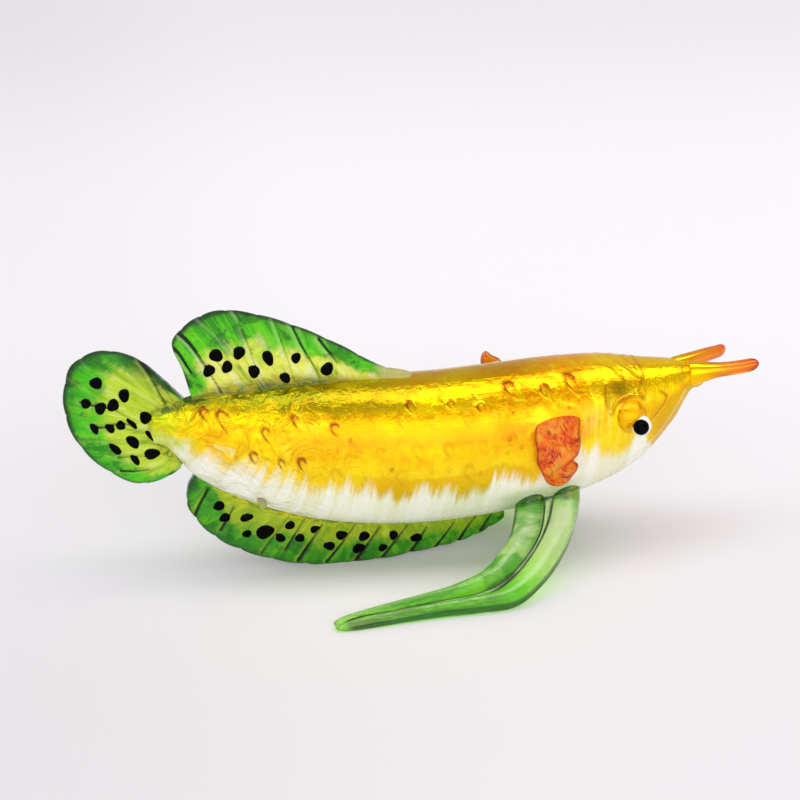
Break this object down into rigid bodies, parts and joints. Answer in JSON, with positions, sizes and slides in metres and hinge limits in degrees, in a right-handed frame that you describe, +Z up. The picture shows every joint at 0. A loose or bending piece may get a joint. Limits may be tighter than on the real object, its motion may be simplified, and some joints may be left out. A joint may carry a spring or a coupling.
{
  "type": "glass fish figurine",
  "caption": "Lampworked glass arowana figurine with gold and pearl body, spotted green fins and orange pectorals, standing on its anal fin and two long swept ventral fins",
  "frame": {"origin": "on the table under the middle of the figurine's bounding box", "axes": "+X toward the head along the body, +Y toward the fish's left side, +Z up"},
  "size_m": [0.1308, 0.053, 0.0543],
  "materials": {
    "gold_glass": "clear blown glass over a gold and pearl white inner coat, polished",
    "green_glass": "clear green lampworked glass, fire polished",
    "orange_glass": "streaked orange and red lampworked glass, fire polished",
    "amber_glass": "clear amber lampworked glass, fire polished",
    "white_glass": "opaque white glass bead, glossy",
    "black_enamel": "opaque black glass enamel, glossy"
  },
  "bodies": {
    "root": {"trunk": "gold_glass", "head": "gold_glass", "tail_base": "gold_glass", "eye_mound_right": "gold_glass", "eye_mound_left": "gold_glass", "dorsal_fin": "green_glass", "anal_fin": "green_glass", "tail_fin": "green_glass", "ventral_fin_right": "green_glass", "ventral_fin_left": "green_glass", "pectoral_fin_right": "orange_glass", "pectoral_fin_left": "orange_glass", "barbel_right": "amber_glass", "barbel_left": "amber_glass", "eye_bead_right": "white_glass", "eye_bead_left": "white_glass", "pupil_right": "black_enamel", "pupil_left": "black_enamel"}
  },
  "joints": []
}
